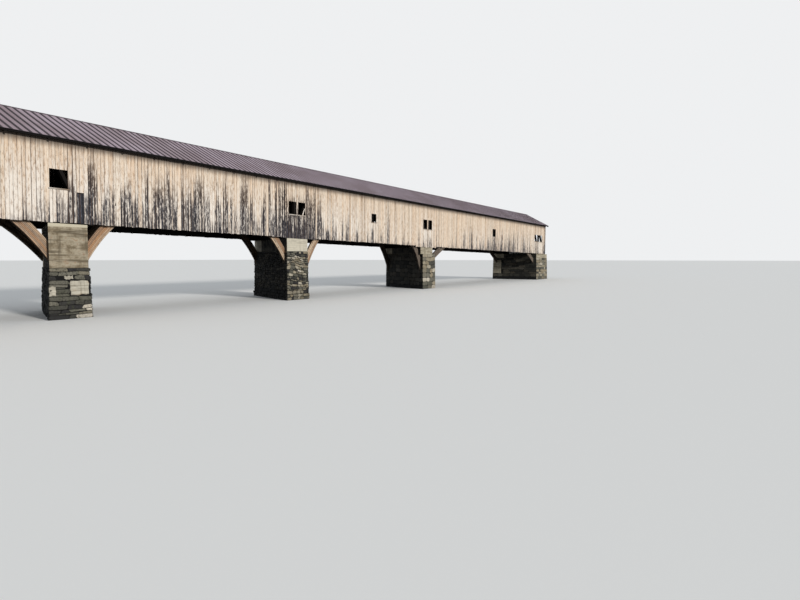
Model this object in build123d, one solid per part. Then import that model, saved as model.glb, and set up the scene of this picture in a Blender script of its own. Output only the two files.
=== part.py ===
from build123d import *
from math import asin, atan, cos, degrees, radians, sin, sqrt, tan
import os

# Covered timber bridge of four arch-truss spans, as a 1:10 scale model.
# Every size is the real bridge's divided by ten, in millimetres.
# X runs along the bridge, Y from its near to its far side, Z up; Z = 0 is the river level.
# The timber body is drawn in its own frame (along, across, up from the siding's lower
# edge) and then set on the piers at the gentle fall of the road.

# Overall body
body_length = 11430.0
body_width = 740.0
road_fall = 0.0162
mid_height = 527.0

# Layers of a side wall, from the outer face inward
siding_thickness = 3.0
rail_thickness = 6.0
arch_width = 18.0
chord_width = 25.0

# Truss
chord_depth = 35.0
truss_height = 474.5
top_chord_depth = 30.0
panel_length = 240.0
post_width = 24.0
brace_width = 20.0
end_post_inset = 75.0

# Laminated arches, bolted to the inner faces of the posts
arch_depth = 67.0
short_rise = 498.0
short_foot_drop = 225.0
middle_rise = 690.0
middle_foot_drop = 308.0
long_rise = 462.0
long_foot_drop = 164.0
arch_run_in = 45.0

# Floor
beam_depth = 22.0
beam_width = 18.0
beam_offset = 80.0
stringer_depth = 10.0
stringer_width = 12.0
stringer_spacing = 140.0
stringer_pairs = 2
deck_thickness = 8.0
deck_clearance = 3.0
beam_arch_gap = 2.0

# Roof
roof_pitch = 27.85
tie_depth = 25.0
tie_width = 20.0
rafter_depth = 16.0
rafter_width = 12.0
rafter_seat = 20.0
roof_thickness = 5.0
eave_overhang = 35.0
gable_overhang = 55.0
fascia_thickness = 3.0
fascia_setback = 3.0
fascia_depth = 22.0
ridge_cap_width = 26.0
ridge_cap_thickness = 2.0

# Siding, its rails and its windows
siding_gap = 2.0
panel_joint = 0.3
panel_break_margin = 120.0
rail_depth = 12.0
bottom_rail_height = 10.0
top_rail_drop = 18.0
window_rail_gap = 2.0
sill_height = 200.0
window_height = 110.0
small_window_height = 86.0
small_sill_rise = 11.0
sill_board_height = 7.0
sill_board_depth = 4.0
sill_board_overrun = 8.0

# Portals
portal_height = 325.0
jamb_width = 67.0
portal_thickness = 3.0

# Piers and abutments
skew = 0.5
pier_projection = 5.0
abutment_projection = 20.0
abutment_overrun = 30.0
bearing_overhang = 40.0
thin_bearing = 6.0
thick_bearing = 15.0
cap_overcut = 60.0
straight_batter = 0.012
abutment_batter = 0.02
wide_batter = 0.042
left_abutment_length = 800.0
left_abutment_cap = 75.0
right_abutment_length = 530.0
right_abutment_cap = 69.0
pier_1_start = -3004.0
pier_1_length = 245.0
pier_1_cap = 264.0
pier_2_start = -956.0
pier_2_length = 270.0
pier_2_bearing = 8.0
pier_2_cap = 110.0
pier_2_skirt = 7.0
pier_2_skirt_left = 56.0
pier_2_skirt_right = 117.0
pier_2_footing = 51.0
pier_2_footing_step = 6.0
pier_3_start = 1336.0
pier_3_length = 288.0
pier_3_cap = 77.0
pier_3_skirt = 13.0
pier_3_skirt_left = 100.0
pier_3_skirt_right = 97.0
pier_3_left_step = 53.0
pier_3_right_step = 60.0

# Windows, measured along the near face of the siding
end_window_inset = 171.0
end_window_width = 379.0
single_width = 111.0
small_width = 90.0
pier_window_width = 93.0
wide_pier_window_width = 98.0
window_2_start = -4030.0
window_3_start = -2989.0
window_4_start = -927.0
window_5_start = -806.0
window_6_start = 329.0
window_7_start = 1401.0
window_8_start = 1522.0
window_9_start = 3421.0

# Places worked out from the sizes above
half_length = body_length / 2
half_width = body_width / 2
siding_inner = half_width - siding_thickness
truss_outer = siding_inner - rail_thickness
truss_inner = truss_outer - chord_width
arch_inner = truss_inner - arch_width
inner_length = half_length - portal_thickness
top_chord_base = truss_height - top_chord_depth
beam_top = chord_depth + beam_depth
deck_base = beam_top + stringer_depth
deck_top = deck_base + deck_thickness
tie_top = truss_height + tie_depth
portal_head = deck_top + portal_height
top_rail_base = truss_height - top_rail_drop

# Roof lines
pitch_rise = tan(radians(roof_pitch))
pitch_cos = cos(radians(roof_pitch))
seat_inner = truss_outer - rafter_seat
ridge_under = tie_top + seat_inner * pitch_rise + rafter_depth / pitch_cos
lip_edge = half_width + eave_overhang
fascia_outer = lip_edge - fascia_setback
fascia_inner = fascia_outer - fascia_thickness

fall_angle = atan(road_fall)
roof_half = half_length + gable_overhang


def roofUnder(across):
    return ridge_under - across * pitch_rise


# The highest and lowest parts of the leaning roof ends set the middle of the whole
cap_top = ridge_under + (roof_thickness + ridge_cap_thickness) / pitch_cos
lip_low = roofUnder(lip_edge)
centre_shift = -(cap_top + lip_low) / 2 * sin(fall_angle)


def support(name, start, length, cap, bearing, batter, skewed, **extras):
    """One abutment or pier; the skirt is where the boards reach lower over it, and the steps
    tell how far the sides of its shaft stand to the right of its cap's."""
    row = {"name": name, "from": start, "to": start + length, "cap": cap, "bearing": bearing,
           "batter": batter, "skewed": skewed, "skirt": 0.0, "skirt_left": 0.0, "skirt_right": 0.0,
           "left_step": 0.0, "right_step": 0.0, "footing": 0.0, "footing_step": 0.0}
    row.update(extras)
    return row


abutment_end = half_length + abutment_overrun
supports = [
    support("left_abutment", -abutment_end, left_abutment_length, left_abutment_cap,
            thin_bearing, abutment_batter, False),
    support("pier_1", pier_1_start, pier_1_length, pier_1_cap, thin_bearing, wide_batter, True),
    support("pier_2", pier_2_start, pier_2_length, pier_2_cap, pier_2_bearing, straight_batter,
            True, skirt=pier_2_skirt, skirt_left=pier_2_skirt_left,
            skirt_right=pier_2_skirt_right, footing=pier_2_footing,
            footing_step=pier_2_footing_step),
    support("pier_3", pier_3_start, pier_3_length, pier_3_cap, thick_bearing, straight_batter,
            True, skirt=pier_3_skirt, skirt_left=pier_3_skirt_left,
            skirt_right=pier_3_skirt_right, left_step=pier_3_left_step,
            right_step=pier_3_right_step),
    support("right_abutment", abutment_end - right_abutment_length, right_abutment_length,
            right_abutment_cap, thin_bearing, abutment_batter, False),
]

# Rise of each arch from its feet, and how far the feet stand below the siding's lower edge
arches = [(short_rise, short_foot_drop), (short_rise, short_foot_drop),
          (middle_rise, middle_foot_drop), (long_rise, long_foot_drop)]

# Windows: left edge, width, and whether it is the smaller kind
windows = [
    {"from": end_window_inset - half_length, "width": end_window_width, "small": False},
    {"from": window_2_start, "width": single_width, "small": False},
    {"from": window_3_start, "width": single_width, "small": False},
    {"from": window_4_start, "width": wide_pier_window_width, "small": False},
    {"from": window_5_start, "width": pier_window_width, "small": False},
    {"from": window_6_start, "width": small_width, "small": True},
    {"from": window_7_start, "width": pier_window_width, "small": False},
    {"from": window_8_start, "width": pier_window_width, "small": False},
    {"from": window_9_start, "width": single_width, "small": False},
    {"from": half_length - end_window_inset - end_window_width, "width": end_window_width,
     "small": False},
]


def onBridge(shape):
    """Sets a shape of the timber body on the road's fall."""
    return Pos(centre_shift, 0, mid_height) * Rot(0, degrees(fall_angle), 0) * shape


def block(along, across, up):
    """A box from three ranges, each a pair of low and high."""
    size = [high - low for low, high in (along, across, up)]
    middle = [(low + high) / 2 for low, high in (along, across, up)]
    return Pos(*middle) * Box(*size)


def sideRange(side, inner, outer):
    """A range across the bridge on the near (-1) or far (+1) side."""
    return tuple(sorted((side * inner, side * outer)))


def crossSection(points, along):
    """A prism whose outline lies across the bridge and which runs along it."""
    outline = Polyline(*[(0, across, up) for across, up in points], close=True)
    face = Face(Wire(outline.edges()))
    low, high = along
    return Pos(low, 0, 0) * Solid.extrude(face, Vector(high - low, 0, 0))


def save(name, shape):
    export_step(shape, os.path.join("parts", name + ".step"))


def saveTimber(name, solids):
    placed = [onBridge(solid) for solid in solids]
    save(name, placed[0] if len(placed) == 1 else Compound(children=placed))


# Supports
def supportShift(support, across):
    return skew * (across + half_width) if support["skewed"] else 0.0


def reachOf(support):
    return half_width + (pier_projection if support["skewed"] else abutment_projection)


def outlineAt(support, height, grow, left_step=0.0, right_step=0.0):
    """The plan of a support at one height: a skewed four-sided outline."""
    left = support["from"] + left_step - grow
    right = support["to"] + right_step + grow
    reach = reachOf(support) + grow
    corners = []
    for across, edge in ((-reach, left), (-reach, right), (reach, right), (reach, left)):
        along = centre_shift + edge + supportShift(support, across)
        corners.append((along, across, height))
    return Face(Wire(Polyline(*corners, close=True).edges()))


def middleOf(support):
    return (support["from"] + support["to"]) / 2


def capJoint(support):
    """Height of the joint between a support's stone and its concrete cap."""
    return mid_height - middleOf(support) * road_fall - support["bearing"] - support["cap"]


def aboveBearing(support):
    """All the room over the sloping plane that a cap's top lies in."""
    room = block((-half_length * 2, half_length * 2), (-body_width, body_width),
                 (-support["bearing"], truss_height))
    return onBridge(room)


def makeStone(support):
    """The battered shaft, with its footing where it has one."""
    joint = capJoint(support)
    steps = (support["left_step"], support["right_step"])
    grow = support["batter"] * joint
    base = outlineAt(support, 0, grow, *steps)
    top = outlineAt(support, joint, 0, *steps)
    shaft = Solid.make_loft([base.outer_wire(), top.outer_wire()], ruled=True)
    if support["footing"] == 0:
        return shaft
    plan = outlineAt(support, 0, grow + support["footing_step"], *steps)
    return shaft + Solid.extrude(plan, Vector(0, 0, support["footing"]))


def makeCap(support):
    joint = capJoint(support)
    plan = outlineAt(support, joint, 0)
    block_height = support["cap"] + support["bearing"] + body_width * road_fall + cap_overcut
    raw = Solid.extrude(plan, Vector(0, 0, block_height))
    return raw - aboveBearing(support)


def makeBearings():
    """Timber bolsters between each cap and the bottom chords."""
    solids = []
    for support in supports:
        for side in (-1, 1):
            shift = supportShift(support, side * (truss_inner + truss_outer) / 2)
            low = max(support["from"] + shift - bearing_overhang, -inner_length)
            high = min(support["to"] + shift + bearing_overhang, inner_length)
            across = sideRange(side, truss_inner, truss_outer)
            solids.append(block((low, high), across, (-support["bearing"], 0)))
    return solids


# Trusses
post_count = round((2 * (half_length - end_post_inset)) / panel_length) + 1
first_post = -(post_count - 1) * panel_length / 2
posts = [first_post + index * panel_length for index in range(post_count)]


def spanMiddles(side):
    """Middle of each river span, along the truss of one side."""
    across = side * (truss_inner + truss_outer) / 2
    middles = []
    for left, right in zip(supports, supports[1:]):
        start = left["to"] + supportShift(left, across)
        stop = right["from"] + supportShift(right, across)
        middles.append((start + stop) / 2)
    return middles


def risesRight(place, side):
    """Braces lean up toward the middle of the span that they stand in."""
    across = side * (truss_inner + truss_outer) / 2
    middles = spanMiddles(side)
    for index, support in enumerate(supports[1:-1], start=1):
        if place < middleOf(support) + supportShift(support, across):
            return place < middles[index - 1]
    return place < middles[-1]


def makeWeb(side):
    """Posts and braces of one truss, fused where they meet."""
    across = sideRange(side, truss_inner, truss_outer)
    bars = []
    for place in posts:
        along = (place - post_width / 2, place + post_width / 2)
        bars.append(block(along, across, (chord_depth, top_chord_base)))
    run = panel_length - post_width
    rise = top_chord_base - chord_depth
    lean = atan(rise / run)
    toe = brace_width / 2 / sin(lean)
    heel = brace_width / 2 / cos(lean)
    for place in posts[:-1]:
        start = place + post_width / 2
        end = start + run
        if not risesRight(place + panel_length / 2, side):
            start, end, toe = end, start, -abs(toe)
        else:
            toe = abs(toe)
        corners = [(start, chord_depth), (start + toe, chord_depth), (end, top_chord_base - heel),
                   (end, top_chord_base), (end - toe, top_chord_base), (start, chord_depth + heel)]
        outline = Polyline(*[(u, across[0], w) for u, w in corners], close=True)
        face = Face(Wire(outline.edges()))
        bars.append(Solid.extrude(face, Vector(0, chord_width, 0)))
    return bars[0].fuse(*bars[1:])


# Arches
def archCircle(index, side):
    """Centre, radius and half angle of the underside of one arch."""
    across = side * (arch_inner + truss_inner) / 2
    left, right = supports[index], supports[index + 1]
    start = left["to"] + left["right_step"] + supportShift(left, across)
    stop = right["from"] + right["left_step"] + supportShift(right, across)
    rise, foot_drop = arches[index]
    half = (stop - start) / 2
    radius = (half * half + rise * rise) / (2 * rise)
    return (start + stop) / 2, rise - foot_drop - radius, radius, asin(half / radius)


def makeArch(index, side, masonry):
    """One arch rib, run into the masonry and cut back to its faces."""
    centre, level, radius, angle = archCircle(index, side)
    reach = angle + arch_run_in / radius
    outer = radius + arch_depth
    across = sideRange(side, arch_inner, truss_inner)

    def onCircle(size, turn):
        return (centre + size * sin(turn), across[0], level + size * cos(turn))

    upper = ThreePointArc(onCircle(outer, -reach), onCircle(outer, 0), onCircle(outer, reach))
    lower = ThreePointArc(onCircle(radius, reach), onCircle(radius, 0), onCircle(radius, -reach))
    ends = [Line(upper @ 1, lower @ 0), Line(lower @ 1, upper @ 0)]
    face = Face(Wire([upper, ends[0], lower, ends[1]]))
    rib = onBridge(Solid.extrude(face, Vector(0, arch_width, 0)))
    for stone in masonry:
        rib = rib - stone
    solids = rib.solids()
    return max(solids, key=lambda solid: solid.volume)


def meetsArch(low, high, bottom, top):
    """Whether an arch of either side crosses a range along the bridge between two heights."""
    for index in range(len(arches)):
        for side in (-1, 1):
            centre, level, radius, angle = archCircle(index, side)
            outer = radius + arch_depth
            far = max(abs(low - centre), abs(high - centre))
            near = 0.0 if low < centre < high else min(abs(low - centre), abs(high - centre))
            if near >= outer * sin(angle):
                continue
            ring_top = level + sqrt(outer * outer - near * near)
            ring_bottom = level + sqrt(radius * radius - far * far) if far < radius else -body_width
            if ring_top > bottom and ring_bottom < top:
                return True
    return False


# Walls
def makeWallRails(side):
    """Rails that carry the boards, nailed to the posts."""
    across = sideRange(side, truss_outer, siding_inner)
    heights = [bottom_rail_height, sill_height - window_rail_gap - rail_depth,
               sill_height + window_height + window_rail_gap, top_rail_base]
    along = (-inner_length, inner_length)
    return [block(along, across, (base, base + rail_depth)) for base in heights]


def windowHeights(window):
    low = sill_height + (small_sill_rise if window["small"] else 0)
    return low, low + (small_window_height if window["small"] else window_height)


def skirtRange(support, side):
    """Where the boards of one side reach lower over a pier."""
    shift = supportShift(support, side * half_width)
    return support["from"] + shift - support["skirt_left"], support["to"] + shift + support["skirt_right"]


def wallBreaks():
    inner = [support["to"] + panel_break_margin for support in supports[1:-1]]
    return [-half_length] + inner + [half_length]


siding_top = roofUnder(half_width) - rafter_depth / pitch_cos - siding_gap


def makeSiding(side, low, high):
    """One length of the board wall: panels with a fine joint between them, left open at the
    windows and reaching lower over the piers that have a skirt."""
    across = sideRange(side, siding_inner, half_width)
    skirts = [(skirtRange(support, side), support["skirt"]) for support in supports
              if support["skirt"] > 0]
    edges = {low, high}
    for start, stop in [ends for ends, drop in skirts]:
        edges.update((start, stop))
    for window in windows:
        edges.update((window["from"], window["from"] + window["width"]))
    edges = sorted(edge for edge in edges if low <= edge <= high)
    panels = []
    for start, stop in zip(edges, edges[1:]):
        middle = (start + stop) / 2
        along = (start + panel_joint / 2, stop - panel_joint / 2)
        drops = [drop for ends, drop in skirts if ends[0] < middle < ends[1]]
        base = -max(drops, default=0.0)
        holes = [windowHeights(window) for window in windows
                 if window["from"] < middle < window["from"] + window["width"]]
        if holes:
            sill, head = holes[0]
            panels.append(block(along, across, (base, sill)))
            panels.append(block(along, across, (head, siding_top)))
        else:
            panels.append(block(along, across, (base, siding_top)))
    return panels


def makeSills(side):
    """The narrow board under each window."""
    across = sideRange(side, half_width, half_width + sill_board_depth)
    solids = []
    for window in windows:
        sill = windowHeights(window)[0]
        along = (window["from"] - sill_board_overrun,
                 window["from"] + window["width"] + sill_board_overrun)
        solids.append(block(along, across, (sill - sill_board_height, sill)))
    return solids


def makeGable(end):
    """Boards over one portal, up to the underside of the roof."""
    corners = [(-siding_inner, portal_head), (siding_inner, portal_head),
               (siding_inner, roofUnder(siding_inner)), (0, ridge_under),
               (-siding_inner, roofUnder(siding_inner))]
    along = tuple(sorted((end * inner_length, end * half_length)))
    return crossSection(corners, along)


def makeJambs(end):
    along = tuple(sorted((end * inner_length, end * half_length)))
    solids = []
    for side in (-1, 1):
        across = sideRange(side, siding_inner - jamb_width, siding_inner)
        solids.append(block(along, across, (0, portal_head)))
    return solids


# Floor
def makeFloorBeams():
    """Two beams a panel, left out where an arch passes through the floor."""
    solids = []
    for place in posts[:-1]:
        for middle in (place + beam_offset, place + panel_length - beam_offset):
            along = (middle - beam_width / 2, middle + beam_width / 2)
            if meetsArch(along[0] - beam_arch_gap, along[1] + beam_arch_gap, chord_depth, beam_top):
                continue
            solids.append(block(along, (-truss_outer, truss_outer), (chord_depth, beam_top)))
    return solids


def makeStringers():
    solids = []
    for index in range(-stringer_pairs, stringer_pairs + 1):
        middle = index * stringer_spacing
        across = (middle - stringer_width / 2, middle + stringer_width / 2)
        solids.append(block((-inner_length, inner_length), across, (beam_top, deck_base)))
    return solids


# Roof
def makeTies():
    solids = []
    for place in posts:
        along = (place - tie_width / 2, place + tie_width / 2)
        solids.append(block(along, (-truss_outer, truss_outer), (truss_height, tie_top)))
    return solids


def makeRafters(side):
    drop = rafter_depth / pitch_cos
    corners = [(0, ridge_under), (fascia_inner, roofUnder(fascia_inner)),
               (fascia_inner, roofUnder(fascia_inner) - drop),
               (truss_outer, roofUnder(truss_outer) - drop), (truss_outer, tie_top),
               (seat_inner, tie_top), (0, ridge_under - drop)]
    points = [(side * across, up) for across, up in corners]
    solids = []
    for place in posts:
        solids.append(crossSection(points, (place - rafter_width / 2, place + rafter_width / 2)))
    return solids


def makeRoofSlope(side):
    rise = roof_thickness / pitch_cos
    corners = [(0, ridge_under), (side * lip_edge, roofUnder(lip_edge)),
               (side * lip_edge, roofUnder(lip_edge) + rise), (0, ridge_under + rise)]
    return crossSection(corners, (-roof_half, roof_half))


def makeRidgeCap():
    under = ridge_under + roof_thickness / pitch_cos
    rise = ridge_cap_thickness / pitch_cos
    half_cap = ridge_cap_width / 2
    fall = half_cap * pitch_rise
    corners = [(-half_cap, under - fall), (0, under), (half_cap, under - fall),
               (half_cap, under - fall + rise), (0, under + rise), (-half_cap, under - fall + rise)]
    return crossSection(corners, (-roof_half, roof_half))


def makeFascias():
    solids = []
    for side in (-1, 1):
        corners = [(fascia_inner, roofUnder(fascia_inner)), (fascia_outer, roofUnder(fascia_outer)),
                   (fascia_outer, roofUnder(fascia_outer) - fascia_depth),
                   (fascia_inner, roofUnder(fascia_outer) - fascia_depth)]
        points = [(side * across, up) for across, up in corners]
        solids.append(crossSection(points, (-roof_half, roof_half)))
    return solids


os.makedirs("parts", exist_ok=True)

masonry = []
for support in supports:
    stone = makeStone(support)
    cap = makeCap(support)
    masonry += [stone, cap]
    save(support["name"] + "_stone", stone)
    save(support["name"] + "_cap", cap)
saveTimber("bearing_timbers", makeBearings())

for side, side_name in ((-1, "near"), (1, "far")):
    chord_across = sideRange(side, truss_inner, truss_outer)
    chord_along = (-inner_length, inner_length)
    saveTimber(side_name + "_bottom_chord", [block(chord_along, chord_across, (0, chord_depth))])
    saveTimber(side_name + "_top_chord",
               [block(chord_along, chord_across, (top_chord_base, truss_height))])
    saveTimber(side_name + "_truss_web", [makeWeb(side)])
    for index in range(len(arches)):
        save("%s_arch_%d" % (side_name, index + 1), makeArch(index, side, masonry))
    saveTimber(side_name + "_wall_rails", makeWallRails(side))
    breaks = wallBreaks()
    for index in range(len(breaks) - 1):
        saveTimber("%s_siding_%d" % (side_name, index + 1),
                   makeSiding(side, breaks[index], breaks[index + 1]))
    saveTimber(side_name + "_window_sills", makeSills(side))
    saveTimber(side_name + "_rafters", makeRafters(side))
    saveTimber(side_name + "_roof_slope", [makeRoofSlope(side)])

saveTimber("floor_beams", makeFloorBeams())
saveTimber("floor_stringers", makeStringers())
deck_half = arch_inner - deck_clearance
saveTimber("road_deck", [block((-inner_length, inner_length), (-deck_half, deck_half),
                               (deck_base, deck_top))])
saveTimber("tie_beams", makeTies())
saveTimber("ridge_cap", [makeRidgeCap()])
saveTimber("eave_fascias", makeFascias())
saveTimber("gables", [makeGable(-1), makeGable(1)])
saveTimber("portal_jambs", makeJambs(-1) + makeJambs(1))
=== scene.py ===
import random
from math import asin, atan, ceil, cos, exp, pi, radians, sin, tan

import bmesh
import bpy
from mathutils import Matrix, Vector, noise


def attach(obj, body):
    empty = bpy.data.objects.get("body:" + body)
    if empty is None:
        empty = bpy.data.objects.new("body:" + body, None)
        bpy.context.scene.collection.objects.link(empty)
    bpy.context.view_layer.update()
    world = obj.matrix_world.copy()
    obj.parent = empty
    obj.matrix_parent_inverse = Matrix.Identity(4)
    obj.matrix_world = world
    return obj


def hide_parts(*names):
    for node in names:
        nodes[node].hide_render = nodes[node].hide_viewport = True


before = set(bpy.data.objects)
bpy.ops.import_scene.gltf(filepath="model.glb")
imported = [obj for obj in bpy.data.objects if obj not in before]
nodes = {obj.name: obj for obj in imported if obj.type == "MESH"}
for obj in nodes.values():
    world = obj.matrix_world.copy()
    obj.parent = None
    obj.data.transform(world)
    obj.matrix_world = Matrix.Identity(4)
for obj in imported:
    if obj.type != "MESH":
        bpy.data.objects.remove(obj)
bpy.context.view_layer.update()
scene = bpy.context.scene
sideNames = {-1: "near", 1: "far"}
supports = ("left_abutment", "pier_1", "pier_2", "pier_3", "right_abutment")
square = ((0, 0), (1, 0), (1, 1), (0, 1))  # the way round a rectangle's corners

# The timber body's own frame: along the bridge, across it, and up from the siding's lower
# edge, all in metres. It falls gently to the right.
bridge = {
    "fall": atan(0.0162),
    "shift": -0.00963,
    "middleHeight": 0.527,
    "halfLength": 5.715,
    "halfWidth": 0.37,
    "skew": 0.5,  # how far a pier leans to the right for each metre across
}


def onBridge(along, across, up):
    turn = bridge["fall"]
    x = bridge["shift"] + along * cos(turn) + up * sin(turn)
    z = bridge["middleHeight"] - along * sin(turn) + up * cos(turn)
    return Vector((x, across, z))


def skewAt(across):
    # a pier's shift to the right at some place across, measured from the near wall
    return bridge["skew"] * (across + bridge["halfWidth"])


class Sock:
    # a socket that can stand in a sum: each sign adds one Math node
    def __init__(self, nodeTree, out):
        self.nodeTree = nodeTree
        self.out = out

    def __add__(self, other):
        return self.nodeTree.maths("ADD", self, other)

    def __radd__(self, other):
        return self.nodeTree.maths("ADD", other, self)

    def __sub__(self, other):
        return self.nodeTree.maths("SUBTRACT", self, other)

    def __rsub__(self, other):
        return self.nodeTree.maths("SUBTRACT", other, self)

    def __mul__(self, other):
        return self.nodeTree.maths("MULTIPLY", self, other)

    def __rmul__(self, other):
        return self.nodeTree.maths("MULTIPLY", other, self)


def pick(sockets, key):
    # a socket by its number, or by its name among those in use
    if isinstance(key, int):
        return sockets[key]
    return [socket for socket in sockets if socket.name == key and socket.enabled][0]


class NodeTree:
    # makes nodes: any kind with node(), and the usual ones by short names
    def __init__(self, tree):
        self.tree = tree

    def node(self, kind, sockets=None, out=0, **settings):
        made = self.tree.nodes.new("ShaderNode" + kind)
        for key, value in settings.items():
            setattr(made, key, value)
        for key, value in (sockets or {}).items():
            self.put(value, pick(made.inputs, key))
        return Sock(self, pick(made.outputs, out))

    def put(self, value, socket):
        if isinstance(value, Sock):
            self.tree.links.new(value.out, socket)
        elif isinstance(value, tuple) and len(value) < len(socket.default_value):
            socket.default_value = value + (1,)  # a colour without its alpha
        else:
            socket.default_value = value

    def maths(self, operation, first, second=0.0, clamp=False):
        return self.node("Math", {0: first, 1: second}, operation=operation, use_clamp=clamp)

    def clamp(self, value):
        return self.maths("ADD", value, clamp=True)

    def smooth(self, value, low, high):
        # 0 below low, 1 above high, and a soft step between them
        return self.node("MapRange", {"Value": value, "From Min": low, "From Max": high},
                         interpolation_type="SMOOTHSTEP")

    def mix(self, factor, first, second):
        return self.node("Mix", {"Factor": factor, "A": first, "B": second}, "Result", data_type="RGBA")

    def ramp(self, value, colours):
        # a colour ramp with its stops evenly apart
        made = self.node("ValToRGB", {0: value})
        stops = made.out.node.color_ramp.elements
        while len(stops) < len(colours):
            stops.new(0.5)
        for index, colour in enumerate(colours):
            stops[index].position = index / (len(colours) - 1)
            stops[index].color = colour + (1,)
        return made

    def noise(self, where, scale, detail=3.0, rough=0.55, distort=0.0):
        # the scale is one number, or three where the grain runs one way
        if isinstance(scale, tuple):
            where = self.node("VectorMath", {0: where, 1: scale}, operation="MULTIPLY")
            scale = 1.0
        return self.node("TexNoise", {"Vector": where, "Scale": scale, "Detail": detail,
                                      "Roughness": rough, "Distortion": distort})

    def place(self):
        return self.node("TexCoord", out="Object")

    def join(self, x, y, z):
        return self.node("CombineXYZ", {0: x, 1: y, 2: z})

    def parts(self, kind, whole):
        # the single numbers of a vector (XYZ) or a colour (Color)
        made = self.node("Separate" + kind, {0: whole})
        return [Sock(self, out) for out in made.out.node.outputs]

    def marks(self, name):
        # the three numbers that a board or a stone carries
        return self.parts("Color", self.node("Attribute", out="Color", attribute_name=name))


def tint(red, green, blue):
    # a colour as a screen shows it, turned into the light values that nodes want
    return tuple(((v / 255 + 0.055) / 1.055) ** 2.4 if v > 10 else v / 255 / 12.92
                 for v in (red, green, blue))


class Finish(NodeTree):
    # one material: colours laid one over the other, from a look of screen colours
    def __init__(self, name, look, base=None, gloss=0.2):
        self.material = bpy.data.materials.new(name)
        self.material.use_nodes = True
        super().__init__(self.material.node_tree)
        self.shader = self.tree.nodes["Principled BSDF"]
        self.shader.inputs["Specular IOR Level"].default_value = gloss
        self.look = {key: tint(*colour) for key, colour in look.items()}
        self.base = self.look.get(base)

    def lay(self, amount, colour):
        self.base = self.mix(amount, self.base, self.look[colour])

    def surface(self, rough, bump, strength, distance):
        raised = self.node("Bump", {"Strength": strength, "Distance": distance, "Height": bump},
                           "Normal")
        for value, socket in ((self.base, "Base Color"), (rough, "Roughness"), (raised, "Normal")):
            self.put(value, self.shader.inputs[socket])
        return self.material


boardLook = {
    "cream": (224, 210, 192), "peach": (215, 189, 162), "tan": (186, 162, 138),
    "brown": (150, 122, 98), "umber": (98, 80, 68), "silver": (226, 219, 210),
    "ash": (152, 143, 134), "slate": (78, 80, 90), "black": (26, 26, 31),
    # gap, inside and eave carry painted shade: gap with dirt along the board edges, inside over the
    # backs' unweathered brown, eave alone under the eaves
    "dull": (196, 184, 172), "gap": (84, 68, 58), "inside": (64, 50, 40), "eave": (84, 76, 70),
}


def boardFinish(name):
    # old vertical boards: cream and tan, silver lower down, and stained up from the foot
    f = Finish(name, boardLook, "cream")
    seed, stain, rise = f.marks("boardMarks")
    warm, pale, across = f.marks("boardTone")
    x, y, z = f.parts("XYZ", f.place())
    local = f.join(x + y + seed * 37.0, seed * 5.0, z)
    bands = f.noise(local, (75, 1, 1.3), 2, 0.5)
    streaks = f.noise(local, (130, 1, 3.5), 3, 0.6, 0.2)
    flecks = f.noise(local, (95, 1, 27), 3, 0.7)
    grain = f.noise(local, (480, 1, 11), 4, 0.65)
    specks = f.noise(local, (330, 1, 75), 2, 0.6)
    band, streak, fleck = bands - 0.5, streaks - 0.5, flecks - 0.5
    own = f.maths("FRACT", seed * 13.7)

    # clean wood, with brown in its grain and silver where it is bleached
    f.lay(f.clamp(warm * 0.8 + band * 2.0), "peach")
    f.lay(own * own * own * 0.6, "tan")
    f.lay(f.clamp(pale) * 0.45, "dull")
    f.lay(f.smooth(streaks, 0.5, 0.68) * 0.6, "brown")
    f.lay(f.smooth(flecks, 0.52, 0.63) * (pale + 0.3) * 0.85, "brown")
    f.lay(f.smooth(grain, 0.53, 0.7) * 0.4, "umber")
    f.lay(f.clamp(pale - fleck * 2.4 + (specks - 0.5) * 0.6 + streak * 1.2) * 0.9, "silver")

    # dirt run down from the eaves, and a painted shade that darkens the tops of the boards under the
    # eaves
    eave = f.smooth(rise + band * 0.5 + streak * 0.25, 0.86, 1.03)
    f.lay(eave * (own * 0.5 + 0.2) * 0.8, "umber")
    f.lay(f.smooth(rise, 0.875, 0.98) * 0.85, "eave")

    # runs up from the foot: in lines, along some edges, and whole where the stain is full;
    # slate at the foot and brown higher up
    edge = f.maths("ABSOLUTE", across - 0.5)
    leaky = f.smooth(f.maths("FRACT", seed * 7.3) + band * 0.6, 0.35, 0.65)
    fade = f.smooth(stain * (band * 0.9 + streak * 0.9 + fleck * 0.7 + 1.15), 0.0, 0.68)
    lines = f.smooth(band * 0.8 + streaks + fleck * 0.9, 0.36, 0.58)
    runs = lines * 0.8 + f.smooth(edge, 0.18, 0.45) * leaky * 1.1 + 0.05
    full = f.smooth(stain + streak, 0.72, 1.0) * 0.3
    dark = f.clamp(fade * runs + full + f.smooth(stain, 0.98, 1.15) * 0.4)
    f.lay(fade * f.smooth(flecks, 0.36, 0.56) * 0.7, "ash")
    stained = f.mix(f.smooth(rise, 0.28, 0.6), f.look["slate"], f.look["umber"])
    f.base = f.mix(dark, f.base, stained)
    f.lay(dark * dark * f.smooth(flecks + streaks, 0.75, 1.05) * 0.9, "black")

    # knots; darker edges, partly dirt and partly painted shade of the gaps between boards; and the
    # back, its unweathered brown darkened by painted shade
    knots = f.noise(local, (150, 1, 42), 1, 0.4)
    f.lay(f.smooth(knots, 0.72, 0.77) * f.clamp(stain + 0.4), "black")
    gapDirtAndShade = f.clamp((own - 0.45) * 1.6 + band * 2.4 + fleck * 1.2 + stain * 0.6)
    # painted shade of the gaps, with dirt, along both edges of a board
    f.lay(f.smooth(edge, 0.34, 0.43) * (gapDirtAndShade * 0.8 + 0.1), "gap")
    # painted shade on the back faces, over their unweathered brown
    f.lay(f.clamp(pale * -1.0) * 0.9, "inside")
    return f.surface(grain * 0.2 + 0.68, grain * 0.6 + streaks * 0.4, 0.35, 0.0015)


sillLook = {
    "pale": (184, 177, 168), "brown": (128, 112, 96), "dark": (60, 56, 54),
}


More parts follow.
